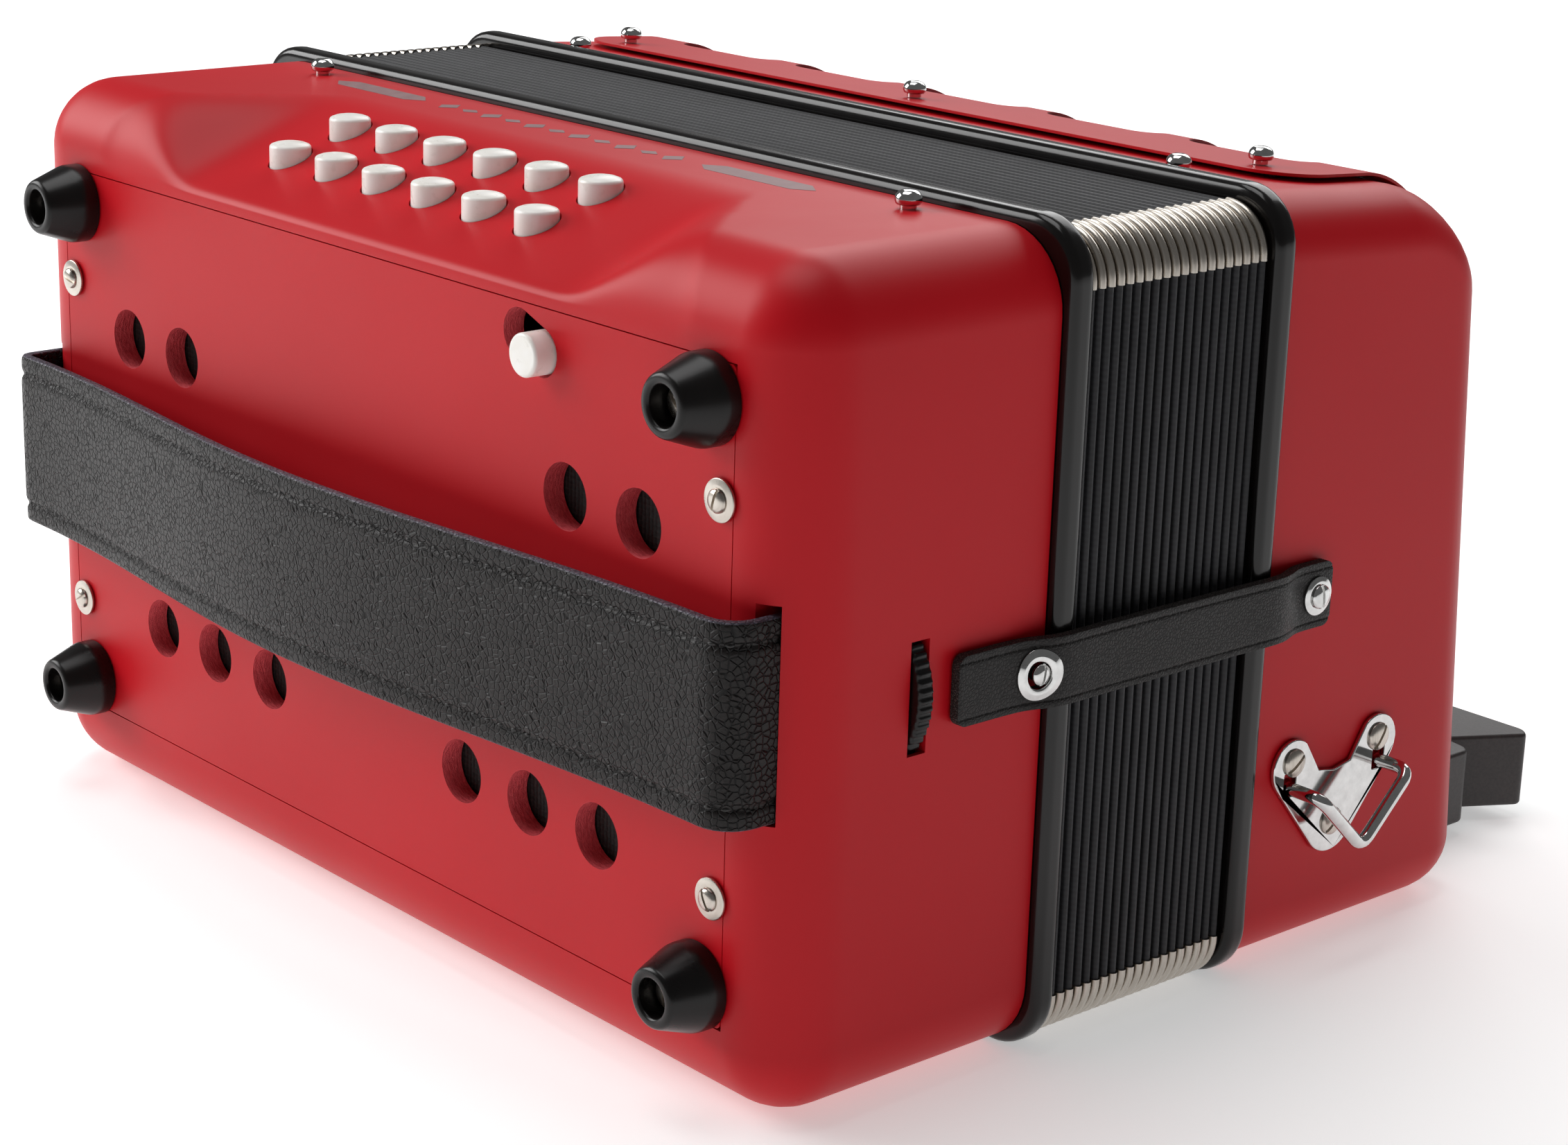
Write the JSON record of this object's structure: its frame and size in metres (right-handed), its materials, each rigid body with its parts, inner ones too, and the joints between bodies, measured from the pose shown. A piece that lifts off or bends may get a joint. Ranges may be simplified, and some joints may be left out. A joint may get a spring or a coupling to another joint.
{
  "type": "button accordion",
  "caption": "Diatonic button accordion with bass and treble cases, folding bellows, hand strap, sprung buttons and closing straps.",
  "frame": {"origin": "middle of the bottom of the box, on the plane of the flat backs that it lies on", "axes": "+X along the cases towards the player's head end, +Y from the bass end to the treble end, +Z from the back to the front"},
  "size_m": [0.336, 0.3165, 0.1959],
  "materials": {
    "red_lacquer": "satin red lacquer over wood",
    "black_gloss": "glossy black",
    "black_satin": "satin charcoal lacquer",
    "bellows_cloth": "black bellows cloth over card",
    "grille_cloth": "black woven mesh",
    "grille_red": "satin red enamel",
    "ivory_plastic": "ivory white, lightly polished",
    "black_leather": "pebbled black leather, stitched",
    "smooth_leather": "smooth black leather with raw edges",
    "nickel": "nickel plated",
    "chrome": "mirror chrome",
    "steel": "plain steel",
    "spruce": "bare wood"
  },
  "bodies": {
    "bass_side": {"bass_case": "red_lacquer", "bass_end_plate": "red_lacquer", "bass_grille_cloth": "grille_cloth", "bass_foot_top_front": "black_gloss", "bass_foot_top_back": "black_gloss", "bass_foot_bottom_front": "black_gloss", "bass_foot_bottom_back": "black_gloss", "end_plate_screw_top_front": "nickel", "end_plate_screw_top_back": "nickel", "end_plate_screw_bottom_front": "nickel", "end_plate_screw_bottom_back": "nickel", "hand_strap": "black_leather", "bass_bellows_frame": "black_gloss", "bass_reed_block": "spruce", "closing_stud_top": "nickel", "closing_stud_bottom": "nickel"},
    "treble_side": {"treble_bellows_frame": "black_gloss", "treble_case": "red_lacquer", "treble_grille": "grille_red", "treble_grille_cloth": "grille_cloth", "grille_screw_1": "nickel", "grille_screw_2": "nickel", "grille_screw_3": "nickel", "fingerboard": "black_satin", "treble_reed_block": "spruce", "strap_bracket_top": "chrome", "strap_bracket_bottom": "chrome"},
    "strap_adjuster": {"strap_wheel": "black_gloss"},
    "strap_take_up": {"strap_nut": "steel"},
    "air_key": {"air_button": "ivory_plastic", "air_lever": "steel"},
    "fold_1": {"bellows_fold_1": "bellows_cloth"},
    "fold_2": {"bellows_fold_2": "bellows_cloth"},
    "fold_3": {"bellows_fold_3": "bellows_cloth"},
    "fold_4": {"bellows_fold_4": "bellows_cloth"},
    "fold_5": {"bellows_fold_5": "bellows_cloth"},
    "fold_6": {"bellows_fold_6": "bellows_cloth"},
    "fold_7": {"bellows_fold_7": "bellows_cloth"},
    "fold_8": {"bellows_fold_8": "bellows_cloth"},
    "fold_9": {"bellows_fold_9": "bellows_cloth"},
    "bass_button_01_key": {"bass_button_01": "ivory_plastic"},
    "bass_button_02_key": {"bass_button_02": "ivory_plastic"},
    "bass_button_03_key": {"bass_button_03": "ivory_plastic"},
    "bass_button_04_key": {"bass_button_04": "ivory_plastic"},
    "bass_button_05_key": {"bass_button_05": "ivory_plastic"},
    "bass_button_06_key": {"bass_button_06": "ivory_plastic"},
    "bass_button_07_key": {"bass_button_07": "ivory_plastic"},
    "bass_button_08_key": {"bass_button_08": "ivory_plastic"},
    "bass_button_09_key": {"bass_button_09": "ivory_plastic"},
    "bass_button_10_key": {"bass_button_10": "ivory_plastic"},
    "bass_button_11_key": {"bass_button_11": "ivory_plastic"},
    "bass_button_12_key": {"bass_button_12": "ivory_plastic"},
    "treble_button_row_1_keys": {"treble_button_row_1": "ivory_plastic"},
    "treble_button_row_2_keys": {"treble_button_row_2": "ivory_plastic"},
    "treble_button_row_3_keys": {"treble_button_row_3": "ivory_plastic"},
    "ring_top": {"strap_ring_top": "chrome"},
    "closer_top": {"closing_strap_top": "smooth_leather"},
    "ring_bottom": {"strap_ring_bottom": "chrome"},
    "closer_bottom": {"closing_strap_bottom": "smooth_leather"}
  },
  "joints": [
    {"name": "bellows_open", "type": "slide", "parent": "bass_side", "child": "treble_side", "axis": [0, 1, 0], "range_m": [0, 0.3], "deforming": ["closing_strap_top", "closing_strap_bottom"]},
    {"name": "fold_1_open", "type": "slide", "parent": "bass_side", "child": "fold_1", "axis": [0, 1, 0], "range_m": [0, 0.01687]},
    {"name": "fold_2_open", "type": "slide", "parent": "bass_side", "child": "fold_2", "axis": [0, 1, 0], "range_m": [0, 0.0502]},
    {"name": "fold_3_open", "type": "slide", "parent": "bass_side", "child": "fold_3", "axis": [0, 1, 0], "range_m": [0, 0.08353]},
    {"name": "fold_4_open", "type": "slide", "parent": "bass_side", "child": "fold_4", "axis": [0, 1, 0], "range_m": [0, 0.11687]},
    {"name": "fold_5_open", "type": "slide", "parent": "bass_side", "child": "fold_5", "axis": [0, 1, 0], "range_m": [0, 0.1502]},
    {"name": "fold_6_open", "type": "slide", "parent": "bass_side", "child": "fold_6", "axis": [0, 1, 0], "range_m": [0, 0.18353]},
    {"name": "fold_7_open", "type": "slide", "parent": "bass_side", "child": "fold_7", "axis": [0, 1, 0], "range_m": [0, 0.21687]},
    {"name": "fold_8_open", "type": "slide", "parent": "bass_side", "child": "fold_8", "axis": [0, 1, 0], "range_m": [0, 0.2502]},
    {"name": "fold_9_open", "type": "slide", "parent": "bass_side", "child": "fold_9", "axis": [0, 1, 0], "range_m": [0, 0.28353]},
    {"name": "bass_button_01_press", "type": "slide", "parent": "bass_side", "child": "bass_button_01_key", "axis": [0, 0, -1], "range_m": [0, 0.004], "stiffness_N_per_m": 120, "springref_m": -0.002},
    {"name": "bass_button_02_press", "type": "slide", "parent": "bass_side", "child": "bass_button_02_key", "axis": [0, 0, -1], "range_m": [0, 0.004], "stiffness_N_per_m": 120, "springref_m": -0.002},
    {"name": "bass_button_03_press", "type": "slide", "parent": "bass_side", "child": "bass_button_03_key", "axis": [0, 0, -1], "range_m": [0, 0.004], "stiffness_N_per_m": 120, "springref_m": -0.002},
    {"name": "bass_button_04_press", "type": "slide", "parent": "bass_side", "child": "bass_button_04_key", "axis": [0, 0, -1], "range_m": [0, 0.004], "stiffness_N_per_m": 120, "springref_m": -0.002},
    {"name": "bass_button_05_press", "type": "slide", "parent": "bass_side", "child": "bass_button_05_key", "axis": [0, 0, -1], "range_m": [0, 0.004], "stiffness_N_per_m": 120, "springref_m": -0.002},
    {"name": "bass_button_06_press", "type": "slide", "parent": "bass_side", "child": "bass_button_06_key", "axis": [0, 0, -1], "range_m": [0, 0.004], "stiffness_N_per_m": 120, "springref_m": -0.002},
    {"name": "bass_button_07_press", "type": "slide", "parent": "bass_side", "child": "bass_button_07_key", "axis": [0, 0, -1], "range_m": [0, 0.004], "stiffness_N_per_m": 120, "springref_m": -0.002},
    {"name": "bass_button_08_press", "type": "slide", "parent": "bass_side", "child": "bass_button_08_key", "axis": [0, 0, -1], "range_m": [0, 0.004], "stiffness_N_per_m": 120, "springref_m": -0.002},
    {"name": "bass_button_09_press", "type": "slide", "parent": "bass_side", "child": "bass_button_09_key", "axis": [0, 0, -1], "range_m": [0, 0.004], "stiffness_N_per_m": 120, "springref_m": -0.002},
    {"name": "bass_button_10_press", "type": "slide", "parent": "bass_side", "child": "bass_button_10_key", "axis": [0, 0, -1], "range_m": [0, 0.004], "stiffness_N_per_m": 120, "springref_m": -0.002},
    {"name": "bass_button_11_press", "type": "slide", "parent": "bass_side", "child": "bass_button_11_key", "axis": [0, 0, -1], "range_m": [0, 0.004], "stiffness_N_per_m": 120, "springref_m": -0.002},
    {"name": "bass_button_12_press", "type": "slide", "parent": "bass_side", "child": "bass_button_12_key", "axis": [0, 0, -1], "range_m": [0, 0.004], "stiffness_N_per_m": 120, "springref_m": -0.002},
    {"name": "treble_button_row_1_press", "type": "slide", "parent": "treble_side", "child": "treble_button_row_1_keys", "axis": [0, 0, -1], "range_m": [0, 0.004], "stiffness_N_per_m": 400, "springref_m": -0.003},
    {"name": "treble_button_row_2_press", "type": "slide", "parent": "treble_side", "child": "treble_button_row_2_keys", "axis": [0, 0, -1], "range_m": [0, 0.004], "stiffness_N_per_m": 400, "springref_m": -0.003},
    {"name": "treble_button_row_3_press", "type": "slide", "parent": "treble_side", "child": "treble_button_row_3_keys", "axis": [0, 0, -1], "range_m": [0, 0.004], "stiffness_N_per_m": 400, "springref_m": -0.003},
    {"name": "air_button_press", "type": "hinge", "parent": "bass_side", "child": "air_key", "pos_m": [0.09891, -0.09875, 0.14896], "axis": [-0.3482, 0, -0.9374], "range_deg": [0, 11.5], "stiffness_Nm_per_rad": 0.4, "springref_deg": -8.59},
    {"name": "strap_wheel_turn", "type": "hinge", "parent": "bass_side", "child": "strap_adjuster", "pos_m": [0.1383, -0.10125, 0.0952], "axis": [0, 1, 0], "range_deg": [0, 1080]},
    {"name": "strap_nut_travel", "type": "slide", "parent": "bass_side", "child": "strap_take_up", "axis": [0, 1, 0], "range_m": [0, 0.0061]},
    {"name": "strap_ring_top_swing", "type": "hinge", "parent": "treble_side", "child": "ring_top", "pos_m": [0.1559, 0.04125, 0.0462], "axis": [0, -1, 0], "range_deg": [0, 35]},
    {"name": "closing_strap_top_swing", "type": "hinge", "parent": "treble_side", "child": "closer_top", "pos_m": [0.1568, 0.02225, 0.0952], "axis": [0, 0, 1], "range_deg": [0, 60], "deforming": ["closing_strap_top"]},
    {"name": "strap_ring_bottom_swing", "type": "hinge", "parent": "treble_side", "child": "ring_bottom", "pos_m": [-0.1559, 0.04125, 0.0462], "axis": [0, 1, 0], "range_deg": [0, 35]},
    {"name": "closing_strap_bottom_swing", "type": "hinge", "parent": "treble_side", "child": "closer_bottom", "pos_m": [-0.1568, 0.02225, 0.0952], "axis": [0, 0, -1], "range_deg": [0, 60], "deforming": ["closing_strap_bottom"]}
  ],
  "couplings": [
    {"joint": "fold_1_open", "follows": "bellows_open", "ratio": 0.055556},
    {"joint": "fold_2_open", "follows": "bellows_open", "ratio": 0.16667},
    {"joint": "fold_3_open", "follows": "bellows_open", "ratio": 0.27778},
    {"joint": "fold_4_open", "follows": "bellows_open", "ratio": 0.38889},
    {"joint": "fold_5_open", "follows": "bellows_open", "ratio": 0.5},
    {"joint": "fold_6_open", "follows": "bellows_open", "ratio": 0.61111},
    {"joint": "fold_7_open", "follows": "bellows_open", "ratio": 0.72222},
    {"joint": "fold_8_open", "follows": "bellows_open", "ratio": 0.83333},
    {"joint": "fold_9_open", "follows": "bellows_open", "ratio": 0.94444},
    {"joint": "strap_nut_travel", "follows": "strap_wheel_turn", "m_per_rad": 0.000318}
  ]
}
